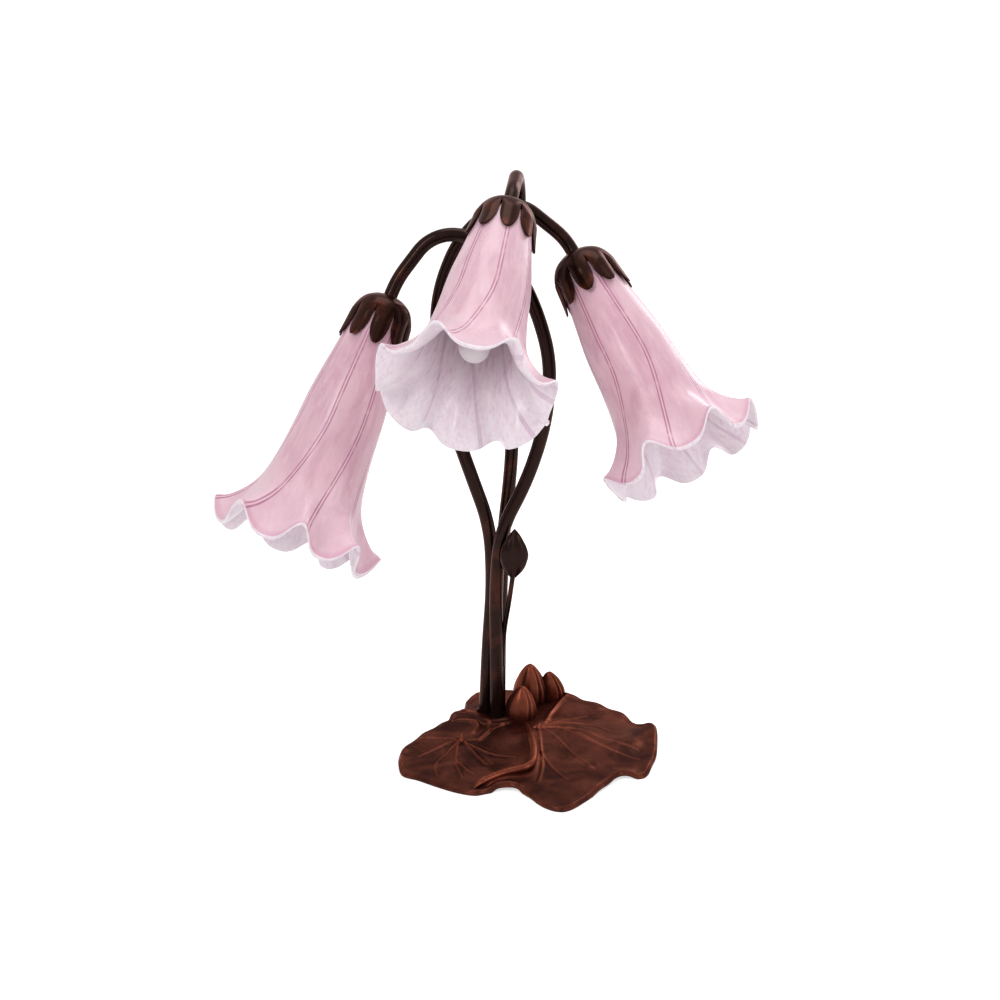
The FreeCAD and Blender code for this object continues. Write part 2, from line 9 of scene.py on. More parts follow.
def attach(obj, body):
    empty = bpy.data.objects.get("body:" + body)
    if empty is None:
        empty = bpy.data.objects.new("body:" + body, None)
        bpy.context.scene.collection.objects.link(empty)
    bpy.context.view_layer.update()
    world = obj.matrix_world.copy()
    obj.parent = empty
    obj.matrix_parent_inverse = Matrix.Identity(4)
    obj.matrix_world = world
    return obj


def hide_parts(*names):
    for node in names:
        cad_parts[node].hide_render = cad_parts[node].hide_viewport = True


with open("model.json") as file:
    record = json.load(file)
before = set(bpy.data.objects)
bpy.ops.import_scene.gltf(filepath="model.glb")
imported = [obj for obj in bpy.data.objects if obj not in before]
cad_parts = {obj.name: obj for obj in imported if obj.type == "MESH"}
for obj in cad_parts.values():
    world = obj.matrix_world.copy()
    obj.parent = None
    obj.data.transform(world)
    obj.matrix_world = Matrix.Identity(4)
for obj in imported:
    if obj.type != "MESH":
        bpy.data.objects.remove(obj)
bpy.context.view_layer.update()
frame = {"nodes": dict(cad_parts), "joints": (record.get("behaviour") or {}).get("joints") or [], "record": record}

MM = 0.001
TURN = 2 * pi

# ---- Heads: the same driving sizes as the solids, in millimetres ---------------------
HEADS = {
    "left": {"top": (-71.4, -14.0, 324.0), "reach": 178.8, "mouth": 56.7, "cap_scale": 0.98,
             "ruffle": (6.6, 4.3), "arches": (0, 46, 98, 149, 197, 232, 275, 318),
             "vein_offset": -4.0, "seed": 3.0},
    "right": {"top": (53.0, -9.5, 352.6), "reach": 161.0, "mouth": 54.8, "cap_scale": 1.02,
              "ruffle": (5.8, 4.3), "arches": (14, 66, 108, 152, 194, 240, 284, 325),
              "vein_offset": -14.0, "seed": 11.0},
    "middle": {"top": (8.8, -38.0, 390.0), "reach": 157.4, "mouth": 58.6, "cap_scale": 0.98,
               "ruffle": (4.9, 3.0), "arches": (31, 78, 122, 168, 212, 254, 296, 341),
               "vein_offset": -8.0, "seed": 23.0},
}
SHADE_TOP = 14.5
SHADE_HOLE = 14.4
SHADE_WALL = 2.6
SHADE_PROFILE = [(0.0, 18.4), (0.04, 19.6), (0.11, 20.8), (0.21, 23.2), (0.37, 27.0), (0.58, 29.8),
                 (0.72, 33.0), (0.82, 37.4), (0.90, 43.8), (0.96, 50.8)]
RUFFLE_LENGTH = 44.0
RUFFLE_GROWTH = 1.6
RUFFLE_PINCH = 0.2
VEIN_SWING = 26.0               # degrees a vein turns on its way down
LOBE_COLUMNS = 40
GLASS_ROWS = 72
EDGE_STEPS = 6                  # steps of the half round over the rim
ROW_CROWDING = 0.85             # below 1, the rows of the glass stand closer towards the rim
CURL_START = 0.93               # share of the way down where the arches start to curl
CURL_IN = 1.2
CURL_DOWN = 3.4
VEIN_SWING_START = 0.45
VEIN_UV_SPAN = 100.0            # millimetres across the vein map


# ---- Small tools ---------------------------------------------------------------------
def spline(knots, x):
    """Smooth value at x through (x, value) knots (cubic, with the mean slope at each knot)."""
    if x <= knots[0][0]:
        return knots[0][1]
    if x >= knots[-1][0]:
        return knots[-1][1]
    i = next(k for k in range(len(knots) - 1) if knots[k + 1][0] >= x)
    (x0, y0), (x1, y1) = knots[i], knots[i + 1]
    slope = (y1 - y0) / (x1 - x0)
    before = (y0 - knots[i - 1][1]) / (x0 - knots[i - 1][0]) if i else slope
    after = (knots[i + 2][1] - y1) / (knots[i + 2][0] - x1) if i + 2 < len(knots) else slope
    m0, m1 = (before + slope) / 2, (after + slope) / 2
    h, t = x1 - x0, (x - x0) / (x1 - x0)
    return (y0 * (1 + 2 * t) * (1 - t) ** 2 + h * m0 * t * (1 - t) ** 2
            + y1 * t * t * (3 - 2 * t) + h * m1 * t * t * (t - 1))


def smooth_step(low, high, x):
    t = min(1.0, max(0.0, (x - low) / (high - low)))
    return t * t * (3 - 2 * t)


def mesh_piece(name, points, faces, material):
    """New object from points in millimetres."""
    mesh = bpy.data.meshes.new(name)
    mesh.from_pydata([tuple(c * MM for c in p) for p in points], [], faces)
    mesh.validate()
    mesh.polygons.foreach_set("use_smooth", [True] * len(mesh.polygons))
    for m in material if isinstance(material, (list, tuple)) else [material]:
        mesh.materials.append(m)
    piece = bpy.data.objects.new(name, mesh)
    bpy.context.scene.collection.objects.link(piece)
    return piece


def settle(piece, body, slot, *replaced):
    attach(piece, body)
    if replaced:
        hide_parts(*replaced)


def closed_grid(rows, columns):
    """Quads between rings of points that close on themselves, ring after ring."""
    faces = []
    for i in range(rows - 1):
        for k in range(columns):
            n = (k + 1) % columns
            faces.append((i * columns + k, i * columns + n, (i + 1) * columns + n, (i + 1) * columns + k))
    return faces


def head_axes(name):
    """Origin at the crown of the cap, then front, side and down the head's own axis."""
    axis = Vector(next(j["axis"] for j in frame["joints"] if j["name"] == "shade_%s_slide" % name))
    front = Vector((0, -1, 0))
    front = (front - axis * front.dot(axis)).normalized()
    return Vector(HEADS[name]["top"]), front, axis.cross(front), axis


# ---- Materials -----------------------------------------------------------------------
def new_material(name):
    material = bpy.data.materials.new(name)
    material.use_nodes = True
    tree = material.node_tree
    return material, tree.nodes, tree.links, tree.nodes["Principled BSDF"]


def add(nodes, kind, **values):
    node = nodes.new(kind)
    for key, value in values.items():
        setattr(node, key, value)
    return node


def noise_node(nodes, links, vector, scale, detail, roughness=0.55, distortion=0.0):
    node = nodes.new("ShaderNodeTexNoise")
    node.inputs["Scale"].default_value = scale
    node.inputs["Detail"].default_value = detail
    node.inputs["Roughness"].default_value = roughness
    node.inputs["Distortion"].default_value = distortion
    links.new(vector, node.inputs["Vector"])
    return node.outputs["Fac"]


def stretched(nodes, links, vector, scale):
    node = nodes.new("ShaderNodeMapping")
    node.inputs["Scale"].default_value = scale
    links.new(vector, node.inputs["Vector"])
    return node.outputs["Vector"]


def mixed(nodes, links, factor, a, b):
    """Colour mix; a and b are sockets or plain colours, factor a socket or number."""
    node = nodes.new("ShaderNodeMix")
    node.data_type = "RGBA"
    for value, socket in ((factor, node.inputs["Factor"]), (a, node.inputs["A"]), (b, node.inputs["B"])):
        if isinstance(value, bpy.types.NodeSocket):
            links.new(value, socket)
        else:
            socket.default_value = value if isinstance(value, float) else (*value, 1.0)
    return node.outputs["Result"]


def math_node(nodes, links, operation, *values, clamp=False):
    node = nodes.new("ShaderNodeMath")
    node.operation = operation
    node.use_clamp = clamp
    for value, socket in zip(values, node.inputs):
        if isinstance(value, bpy.types.NodeSocket):
            links.new(value, socket)
        else:
            socket.default_value = value
    return node.outputs["Value"]


def times(nodes, links, a, b):
    return math_node(nodes, links, "MULTIPLY", a, b)


def band(nodes, links, value, low, high, soft):
    """1 where value lies between low and high, fading over soft."""
    rise = add(nodes, "ShaderNodeMapRange", interpolation_type="SMOOTHSTEP")
    rise.inputs["From Min"].default_value = low - soft
    rise.inputs["From Max"].default_value = low
    fall = add(nodes, "ShaderNodeMapRange", interpolation_type="SMOOTHSTEP")
    fall.inputs["From Min"].default_value = high
    fall.inputs["From Max"].default_value = high + soft
    fall.inputs["To Min"].default_value = 1.0
    fall.inputs["To Max"].default_value = 0.0
    links.new(value, rise.inputs["Value"])
    links.new(value, fall.inputs["Value"])
    return times(nodes, links, rise.outputs["Result"], fall.outputs["Result"])


def bumped(nodes, links, shader, height, distance):
    node = nodes.new("ShaderNodeBump")
    node.inputs["Distance"].default_value = distance
    node.inputs["Strength"].default_value = 1.0
    links.new(height, node.inputs["Height"])
    links.new(node.outputs["Normal"], shader.inputs["Normal"])


def vein_parts(nodes, links):
    """Distance from the nearest vein in millimetres, and how far down the glass."""
    uv = add(nodes, "ShaderNodeUVMap", uv_map="vein")
    split = nodes.new("ShaderNodeSeparateXYZ")
    links.new(uv.outputs["UV"], split.inputs["Vector"])
    across = times(nodes, links, split.outputs["X"], VEIN_UV_SPAN)
    away = math_node(nodes, links, "ABSOLUTE", across)
    return away, split.outputs["Y"]


def glass_shader(name, inside):
    """Pink art glass: mottled and veined outside, pale with lavender threads inside."""
    material, nodes, links, shader = new_material(name)
    local = add(nodes, "ShaderNodeAttribute", attribute_name="local").outputs["Vector"]
    away, down = vein_parts(nodes, links)
    fine = stretched(nodes, links, local, (1, 1, 0.10))
    threads = noise_node(nodes, links, fine, 420.0, 5.0, 0.6, 0.4)
    broad = stretched(nodes, links, local, (1, 1, 0.35))
    clouds = noise_node(nodes, links, broad, 75.0, 5.0, 0.6, 0.6)
    if inside:
        threaded = ramp_out(nodes, links, threads, 0.42, 0.68)
        color = mixed(nodes, links, threaded, (0.88, 0.77, 0.81), (0.74, 0.58, 0.68))
        color = mixed(nodes, links, ramp_out(nodes, links, clouds, 0.45, 0.75), color, (0.90, 0.82, 0.85))
        rim = band(nodes, links, down, 0.86, 2.0, 0.2)
        color = mixed(nodes, links, times(nodes, links, rim, 0.35), color, (0.90, 0.82, 0.88))
        line = band(nodes, links, away, 0.25, 0.75, 0.45)
        strength = 0.45
        tint = (0.55, 0.36, 0.50)
    else:
        clouded = ramp_out(nodes, links, clouds, 0.34, 0.70)
        color = mixed(nodes, links, clouded, (0.77, 0.51, 0.58), (0.66, 0.38, 0.47))
        color = mixed(nodes, links, ramp_out(nodes, links, threads, 0.50, 0.74), color, (0.79, 0.53, 0.61))
        coarse = stretched(nodes, links, local, (1, 1, 0.5))
        patches = noise_node(nodes, links, coarse, 38.0, 6.0, 0.65, 1.2)
        smoke = times(nodes, links, ramp_out(nodes, links, patches, 0.56, 0.74),
                          band(nodes, links, down, -1.0, 0.25, 0.55))
        color = mixed(nodes, links, times(nodes, links, smoke, 0.60), color, (0.42, 0.24, 0.34))
        drawn = stretched(nodes, links, local, (1, 1, 0.22))
        wisps = noise_node(nodes, links, drawn, 110.0, 6.0, 0.7, 2.0)
        wisp = times(nodes, links, ramp_out(nodes, links, wisps, 0.55, 0.72), 0.38)
        color = mixed(nodes, links, wisp, color, (0.56, 0.36, 0.46))
        pale = band(nodes, links, down, 0.93, 2.0, 0.25)
        color = mixed(nodes, links, times(nodes, links, pale, 0.45), color, (0.84, 0.64, 0.71))
        edge = band(nodes, links, down, 0.985, 2.0, 0.02)
        color = mixed(nodes, links, times(nodes, links, edge, 0.5), color, (0.66, 0.33, 0.45))
        line = band(nodes, links, away, 0.75, 1.25, 0.50)
        centre = band(nodes, links, away, -1.0, 0.35, 0.45)
        color = mixed(nodes, links, times(nodes, links, centre, 0.45), color, (0.84, 0.58, 0.66))
        strength = 0.85
        tint = (0.42, 0.13, 0.24)
    reach = band(nodes, links, down, 0.10, 0.97 if not inside else 2.0, 0.06)
    waver = ramp_out(nodes, links, noise_node(nodes, links, local, 120.0, 3.0), 0.30, 0.55)
    line = times(nodes, links, times(nodes, links, line, reach),
                     math_node(nodes, links, "MULTIPLY_ADD", waver, 0.5, 0.5))
    color = mixed(nodes, links, times(nodes, links, line, strength), color, tint)
    links.new(color, shader.inputs["Base Color"])
    shader.inputs["Roughness"].default_value = 0.36 if not inside else 0.30
    shader.inputs["Specular IOR Level"].default_value = 0.35
    shader.inputs["Coat Weight"].default_value = 0.12
    shader.inputs["Coat Roughness"].default_value = 0.12
    shader.inputs["Subsurface Weight"].default_value = 0.30
    shader.inputs["Subsurface Radius"].default_value = (1.0, 0.6, 0.7)
    shader.inputs["Subsurface Scale"].default_value = 0.003
    bumped(nodes, links, shader, threads, 0.00012)
    return material


def ramp_out(nodes, links, value, low, high):
    node = add(nodes, "ShaderNodeMapRange", interpolation_type="SMOOTHSTEP")
    node.inputs["From Min"].default_value = low
    node.inputs["From Max"].default_value = high
    links.new(value, node.inputs["Value"])
    return node.outputs["Result"]


def object_vector(nodes):
    return nodes.new("ShaderNodeTexCoord").outputs["Object"]


def patina_shader(name, dark, warm, roughness, amount, scale, metallic):
    """Dark bronze patina with warmer patches of wear; amount is how far they show."""
    material, nodes, links, shader = new_material(name)
    place = object_vector(nodes)
    wear = ramp_out(nodes, links, noise_node(nodes, links, place, scale, 6.0, 0.6, 0.5), 0.48, 0.72)
    color = mixed(nodes, links, times(nodes, links, wear, amount), dark, warm)
    links.new(color, shader.inputs["Base Color"])
    shader.inputs["Metallic"].default_value = metallic
    shader.inputs["Specular IOR Level"].default_value = 0.35
    shader.inputs["Specular Tint"].default_value = (0.66, 0.44, 0.38, 1)
    grain = noise_node(nodes, links, place, 900.0, 4.0)
    rough = math_node(nodes, links, "MULTIPLY_ADD", grain, 0.12, roughness - 0.06)
    links.new(rough, shader.inputs["Roughness"])
    bumped(nodes, links, shader, grain, 0.00006)
    return material


def casting_shader(name):
    """Mahogany patina turned red-brown where the mesh marks veins, folds and edges: partly worn patina, partly a
    painted highlight.
    """
    material, nodes, links, shader = new_material(name)
    place = object_vector(nodes)
    cloud = ramp_out(nodes, links, noise_node(nodes, links, place, 38.0, 6.0, 0.6, 0.6), 0.35, 0.70)
    color = mixed(nodes, links, cloud, (0.026, 0.0085, 0.0065), (0.092, 0.024, 0.016))
    edge = mixed(nodes, links, cloud, (0.56, 0.42, 0.39), (0.76, 0.53, 0.47))
    links.new(edge, shader.inputs["Specular Tint"])
    # Mark of worn patina and painted highlight carried by the mesh, strongest on the rolled lip of the foot
    wear_and_highlight = add(nodes, "ShaderNodeAttribute", attribute_name="wear_and_highlight").outputs["Fac"]
    spots = noise_node(nodes, links, place, 260.0, 4.0)
    spotted = math_node(nodes, links, "MULTIPLY_ADD", spots, 0.9, 0.35)
    amount = math_node(nodes, links, "MULTIPLY", wear_and_highlight, spotted, clamp=True)
    color = mixed(nodes, links, amount, color, (0.26, 0.062, 0.032))
    links.new(color, shader.inputs["Base Color"])
    shader.inputs["Metallic"].default_value = 0.8
    shader.inputs["Specular IOR Level"].default_value = 0.2
    grain = noise_node(nodes, links, place, 520.0, 5.0, 0.6)
    rough = math_node(nodes, links, "MULTIPLY_ADD", grain, 0.18, 0.24)
    links.new(rough, shader.inputs["Roughness"])
    bumped(nodes, links, shader, grain, 0.00010)
    return material


def plain_shader(name, color, roughness, metallic=0.0, bump=0.00003, scale=700.0, shade=0.75):
    material, nodes, links, shader = new_material(name)
    grain = noise_node(nodes, links, object_vector(nodes), scale, 4.0)
    mottled = mixed(nodes, links, grain, tuple(c * shade for c in color), color)
    links.new(mottled, shader.inputs["Base Color"])
    shader.inputs["Metallic"].default_value = metallic
    shader.inputs["Roughness"].default_value = roughness
    bumped(nodes, links, shader, grain, bump)
    return material


GLASS_OUT = glass_shader("shade_glass_outside", False)
GLASS_IN = glass_shader("shade_glass_inside", True)
STEM = patina_shader("stem_patina", (0.013, 0.0062, 0.0052), (0.085, 0.022, 0.012), 0.19, 0.45, 45.0, 0.6)
CAP = patina_shader("cap_patina", (0.020, 0.0066, 0.0048), (0.130, 0.028, 0.012), 0.22, 0.6, 50.0, 0.6)
CASTING = casting_shader("casting_patina")
FELT = plain_shader("felt", (0.05, 0.035, 0.028), 0.95, 0.0, 0.0004, 1500.0, 0.5)
STEEL = plain_shader("plain_steel", (0.50, 0.50, 0.51), 0.35, 0.9)
BLACK = plain_shader("cover_paint", (0.03, 0.026, 0.024), 0.45)
PLASTIC = plain_shader("lampholder_plastic", (0.035, 0.028, 0.026), 0.30)
BRASS = plain_shader("brass", (0.62, 0.43, 0.18), 0.28, 1.0)
FROSTED = plain_shader("frosted_bulb", (0.80, 0.72, 0.74), 0.55, 0.0, 0.00004, 1200.0, 0.95)

SLOT_MATERIALS = {
    "cast_patina": CASTING, "cover_steel": BLACK, "felt": FELT, "plain_steel": STEEL,
    "black_plastic": PLASTIC, "brass": BRASS, "stem_patina": STEM, "cap_patina": CAP,
    "lampholder_plastic": PLASTIC, "shade_glass": GLASS_OUT, "bulb_glass": FROSTED,
}


def dress_nodes():
    """Every node keeps its solid and takes the finish of its own slot."""
    slots = {s["node"]: s["material_slot"] for s in frame["record"]["subparts"]}
    for name, node in frame["nodes"].items():
        node.data.materials.clear()
        node.data.materials.append(SLOT_MATERIALS[slots[name]])


# ---- Glass shades --------------------------------------------------------------------
def rim_turns(head):
    """Angle and wave phase of each column of the glass."""
    turns = []
    arches = head["arches"]
    for arch, following in zip(arches, arches[1:] + (arches[0] + 360,)):
        for k in range(LOBE_COLUMNS):
            turns.append((radians(arch + (following - arch) * k / LOBE_COLUMNS), TURN * k / LOBE_COLUMNS))
    return turns


def glass_section(head):
    """(radius, height, share down, inside) from the neck over the rim and back inside."""
    length = head["reach"] - SHADE_TOP
    profile = SHADE_PROFILE + [(1.0, head["mouth"])]
    end = 1 - 0.5 * SHADE_WALL / length
    outer = []
    for i in range(GLASS_ROWS + 1):
        share = end * (i / GLASS_ROWS) ** ROW_CROWDING
        outer.append((spline(profile, share), SHADE_TOP + share * length, share))
    inner = []
    for i, (radius, height, share) in enumerate(outer):
        a, b = outer[max(0, i - 1)], outer[min(GLASS_ROWS, i + 1)]
        run = hypot(b[0] - a[0], b[1] - a[1])
        inner.append((radius - SHADE_WALL * (b[1] - a[1]) / run,
                      height + SHADE_WALL * (b[0] - a[0]) / run, share))
    rows = [(SHADE_HOLE, SHADE_TOP + SHADE_WALL / 2, 0.0, False), (SHADE_HOLE + 0.8, SHADE_TOP, 0.0, False)]
    rows += [(r, h, s, False) for r, h, s in outer]
    (r0, h0, _), (r1, h1, _) = outer[-1], inner[-1]
    ahead = ((h1 - h0) / -SHADE_WALL * -1, (r0 - r1) / SHADE_WALL)
    for k in range(1, EDGE_STEPS):
        a = pi * k / EDGE_STEPS
        lean = sin(a) * SHADE_WALL / 2
        rows.append(((r0 + r1) / 2 + (r0 - r1) / 2 * cos(a) + lean * ahead[0],
                     (h0 + h1) / 2 + (h0 - h1) / 2 * cos(a) + lean * ahead[1], 1.0, True))
    rows += [(max(r, SHADE_HOLE + 0.1), max(h, SHADE_TOP + SHADE_WALL), s, True)
             for r, h, s in reversed(inner)]
    rows.append((SHADE_HOLE, SHADE_TOP + SHADE_WALL, 0.0, True))
    return rows


def make_shade(name):
    head = HEADS[name]
    origin, front, side, axis = head_axes(name)
    rows = glass_section(head)
    turns = rim_turns(head)
    columns = len(turns)
    rise, depth = head["ruffle"]
    points, local = [], []
    for radius, height, down, _ in rows:
        grown = max(0.0, 1 - abs(head["reach"] - height) / RUFFLE_LENGTH) ** RUFFLE_GROWTH
        for angle, phase in turns:
            wave = grown * (cos(phase) + RUFFLE_PINCH * cos(2 * phase))
            curl = smooth_step(CURL_START, 1.0, down) * max(0.0, cos(phase)) ** 2
            r = radius + depth * wave - CURL_IN * curl
            h = height - rise * wave - CURL_DOWN * curl
            points.append(origin + (front * cos(angle) + side * sin(angle)) * r + axis * h)
            local.append((r * cos(angle) * MM, r * sin(angle) * MM, h * MM + head["seed"]))
    faces = closed_grid(len(rows), columns)
    last = (len(rows) - 1) * columns
    faces += [(last + k, last + (k + 1) % columns, (k + 1) % columns, k) for k in range(columns)]
    shade = mesh_piece("glass_shade_" + name, points, faces, [GLASS_OUT, GLASS_IN])
    mesh = shade.data
    attribute = mesh.attributes.new("local", "FLOAT_VECTOR", "POINT")
    attribute.data.foreach_set("vector", [c for p in local for c in p])
    mesh.uv_layers.new(name="vein")
    coordinates = []
    insides = []
    angles = [a for a, _ in turns] + [turns[0][0] + TURN]
    ends = [radians(a + head["vein_offset"]) for a in head["arches"]]
    for polygon in mesh.polygons:
        spots = [divmod(v, columns) for v in polygon.vertices]
        top_row = min(i for i, _ in spots)
        wraps = max(k for _, k in spots) - min(k for _, k in spots) > 1
        insides.append(1 if rows[min(top_row + 1, len(rows) - 1)][3] and top_row > 1 else 0)
        middle = angles[-1] if wraps else angles[min(k for _, k in spots)]
        swing = radians(VEIN_SWING) * (1 - smooth_step(VEIN_SWING_START, 1.0, rows[top_row][2]))
        offset = min(((middle - end + swing + pi) % TURN - pi for end in ends), key=abs)
        base = middle - offset
        for i, k in spots:
            radius, _, down, _ = rows[i]
            swing_here = radians(VEIN_SWING) * (1 - smooth_step(VEIN_SWING_START, 1.0, down))
            angle = angles[-1] if wraps and k == 0 else angles[k]
            coordinates += [(angle - base + swing_here - swing) * radius / VEIN_UV_SPAN, down]
    mesh.polygons.foreach_set("material_index", insides)
    mesh.uv_layers["vein"].data.foreach_set("uv", coordinates)
    settle(shade, "shade_" + name, "shade_glass", "shade_" + name)


# ---- Bulbs, caps and leaf bud --------------------------------------------------------
def along(points, t):
    """Point at t (0 to 1) of a smooth curve through points of equal size."""
    n = len(points) - 1
    i = min(n - 1, int(t * n))
    u = t * n - i
    p = [points[max(0, i - 1)], points[i], points[i + 1], points[min(n, i + 2)]]
    return [0.5 * (2 * b + (c - a) * u + (2 * a - 5 * b + 4 * c - d) * u * u
                   + (3 * b - a - 3 * c + d) * u ** 3)
            for a, b, c, d in zip(*p)]


BULB_RADIUS = 10.0
BULB_ROUND = 120.0              # where the round end starts
BULB_PROFILE = [(5.9, 44.0), (6.4, 46.0), (9.6, 54.5), (BULB_RADIUS, 58.0), (BULB_RADIUS, 90.0)]


def make_bulb(name):
    origin, front, side, axis = head_axes(name)
    outline = BULB_PROFILE + [(BULB_RADIUS * cos(pi * k / 36), BULB_ROUND + 9.9 * sin(pi * k / 36))
                              for k in range(18)]
    outline.append((0.05, 129.9))
    columns = 48
    around = [front * cos(TURN * k / columns) + side * sin(TURN * k / columns) for k in range(columns)]
    points = [origin + across * r + axis * h for r, h in outline for across in around]
    bulb = mesh_piece("frosted_bulb_" + name, points, closed_grid(len(outline), columns), FROSTED)
    settle(bulb, "bulb_" + name, "bulb_glass", "bulb_" + name)


CAP_PROFILE = [(4.7, 0.0), (8.3, 0.0), (11.8, 1.4), (16.2, 4.4), (19.4, 9.0), (21.2, 15.0),
               (22.3, 24.0), (24.4, 37.0)]
CAP_PETALS = 9
CAP_WALL = 1.0
PETAL_COLUMNS = 16
PETAL_ROWS = 44
SLIT_START = 9.0
PETAL_TIP = 36.0
PETAL_SHOULDER = 19.0           # where the petals start to narrow


def make_cap(name):
    """Spun dome slit into pointed petals, each a little domed across and of its own length."""
    head = HEADS[name]
    origin, front, side, axis = head_axes(name)
    scale = head["cap_scale"]
    points, faces = [], []
    pitch = TURN / CAP_PETALS
    for petal in range(CAP_PETALS):
        chance = noise.noise(Vector((petal * 2.7, head["seed"], 0.5)))
        tip = PETAL_TIP + 3.0 * chance
        start = SLIT_START + 2.5 * noise.noise(Vector((petal * 1.9, head["seed"], 4.5)))
        lift = 1.3 * noise.noise(Vector((petal * 3.1, head["seed"], 9.5)))
        middle = pitch * (petal + 1)
        base = len(points)
        for skin in (0, 1):
            for i in range(PETAL_ROWS + 1):
                t = i / PETAL_ROWS
                r, z = along(CAP_PROFILE, min(1.0, t * 0.985))
                z *= 1 if z < start else 1 + (tip / 37.0 - 1) * smooth_step(start, 37.0, z)
                open_ = smooth_step(start, start + 9.0, z)
                half = pitch / 2 - (0.012 + 0.025 * open_) * min(1.0, max(0.0, z - start) / 1.5)
                taper = min(1.0, max(0.0, (z - PETAL_SHOULDER) / (tip - PETAL_SHOULDER)))
                half *= max(0.0, 1 - taper ** 2.1) ** 0.72 * 0.98 + 0.02
                for k in range(PETAL_COLUMNS + 1):
                    u = 2 * k / PETAL_COLUMNS - 1
                    puff = open_ * (0.7 - 1.5 * u * u * (half / (pitch / 2)))
                    flare = lift * open_ * smooth_step(20.0, tip, z)
                    wall = CAP_WALL if skin and r > 5 else 0
                    radius = r * (scale if r > 7.5 else 1.0) + puff + flare - wall
                    angle = middle + half * u
                    across = front * cos(angle) + side * sin(angle)
                    sink = CAP_WALL * 0.9 if skin and z < 6 else 0
                    points.append(origin + across * radius + axis * (z + sink))
        width = PETAL_COLUMNS + 1
        sheet = (PETAL_ROWS + 1) * width
        for i in range(PETAL_ROWS):
            for k in range(PETAL_COLUMNS):
                a = base + i * width + k
                faces.append((a, a + 1, a + width + 1, a + width))
                b = a + sheet
                faces.append((b, b + width, b + width + 1, b + 1))
            for k, flip in ((0, False), (PETAL_COLUMNS, True)):
                a = base + i * width + k
                quad = (a, a + width, a + width + sheet, a + sheet)
                faces.append(quad[::-1] if flip else quad)
        for k in range(PETAL_COLUMNS):
            a = base + PETAL_ROWS * width + k
            faces.append((a, a + 1, a + 1 + sheet, a + sheet))
    cap = mesh_piece("petal_cap_" + name, points, faces, CAP)
    cap.data.set_sharp_from_angle(angle=radians(50))
    settle(cap, "stand", "cap_patina", "cap_" + name)


LEAF = [(12.2, -15.0, 124.5, 2.1, 2.0), (12.5, -15.4, 129.0, 6.0, 3.4), (12.7, -15.8, 135.0, 9.0, 4.6),
        (12.9, -16.0, 141.0, 9.9, 5.0), (13.0, -16.0, 148.0, 8.2, 4.4), (13.1, -15.8, 154.0, 5.0, 3.0),
        (13.2, -15.6, 158.0, 2.2, 1.5), (13.2, -15.5, 160.0, 0.5, 0.4)]
LEAF_STALK = [(12.2, -15.0, 127.0), (9.4, -10.8, 105.0), (6.0, -4.8, 80.0), (4.6, -3.0, 54.0)]
LEAF_STALK_RADIUS = 1.75


def tube(points, radius, rows, columns=20):
    """Points and faces of a round bar along a smooth curve."""
    spots = [Vector(along(points, i / rows)) for i in range(rows + 1)]
    out = []
    for i, spot in enumerate(spots):
        ahead = (spots[min(rows, i + 1)] - spots[max(0, i - 1)]).normalized()
        one = ahead.cross(Vector((0.31, 0.87, 0.38))).normalized()
        two = ahead.cross(one)
        r = radius(i / rows) if callable(radius) else radius
        out += [spot + (one * cos(TURN * k / columns) + two * sin(TURN * k / columns)) * r
                for k in range(columns)]
    return out, closed_grid(rows + 1, columns)


def make_leaf_bud():
    rows, columns = 48, 64
    points = []
    for i in range(rows + 1):
        x, y, z, wide, thick = along(LEAF, i / rows)
        for k in range(columns):
            angle = TURN * k / columns
            fold = exp(-((angle - 1.5 * pi) / 0.16) ** 2) * 0.30
            ribs = 0.03 * sin(angle * 9 + i * 0.35)
            points.append((x + wide * cos(angle) * (1 + ribs * 0.5),
                           y + thick * sin(angle) * (1 - fold + ribs), z))
    faces = closed_grid(rows + 1, columns)
    more, more_faces = tube(LEAF_STALK, LEAF_STALK_RADIUS, 60)
    faces += [tuple(v + len(points) for v in f) for f in more_faces]
    leaf = mesh_piece("folded_leaf", points + more, faces, STEM)
    settle(leaf, "stand", "stem_patina", "leaf_bud")


# ---- Cast foot -----------------------------------------------------------------------
RIM = [(114.5, -6.3, 10), (102.5, -3.6, 9), (89.3, 11.5, 13), (68.5, 20.9, 17), (54.9, 28.4, 20),
       (48.5, 38.5, 17),
       (36.0, 42.5, 16), (11.8, 43.0, 17), (-4.4, 43.6, 17), (-15.2, 34.0, 17), (-22.0, 20.0, 16),
       (-23.5, 4.9, 17),
       (-30.7, 0.7, 17), (-35.6, -9.0, 14), (-48.2, -21.8, 12), (-63.2, -41.9, 9), (-67.8, -56.4, 6),
       (-64.6, -76.2, 3.2), (-53.0, -84.6, 3.2), (-39.7, -95.6, 3.2), (-26.6, -104.8, 3.2),
       (-14.5, -109.5, 3.2),
       (-5.8, -106.4, 3.2), (4.4, -101.7, 6), (12.5, -101.7, 6), (19.9, -109.6, 4), (31.8, -128.2, 3.2),
       (41.8, -135.7, 3.2), (50.5, -132.7, 3.2), (61.6, -117.9, 3.2), (75.3, -96.9, 5), (86.2, -82.3, 6),
       (102.4, -80.0, 3.2), (110.5, -57.4, 5), (113.6, -40.8, 7)]
BLADE = [(33.5, -25.3, 15), (-24.8, -41.0, 12), (36.0, -10.0, 16), (0.0, 0.0, 16), (22.0, 18.0, 17),
         (6.0, -30.0, 14), (12.0, -58.0, 10), (62.0, -25.0, 14), (60.0, -70.0, 9), (-28.0, -70.0, 8),
         (0.0, -84.0, 8), (45.0, -100.0, 5.5), (90.0, -35.0, 11)]
PAD_WALL = 2.4
BOSS = (-1.5, 2.0)
BOSS_RADIUS = 19.0
BOSS_TOP = 17.5
COVER_TOP = 2.4
PILLARS = [(-18.9, -61.0, 4.0, 7.0), (46.9, -61.0, 4.0, 9.0)]     # x, y, radius, top
VEIN_HEIGHT = 0.85
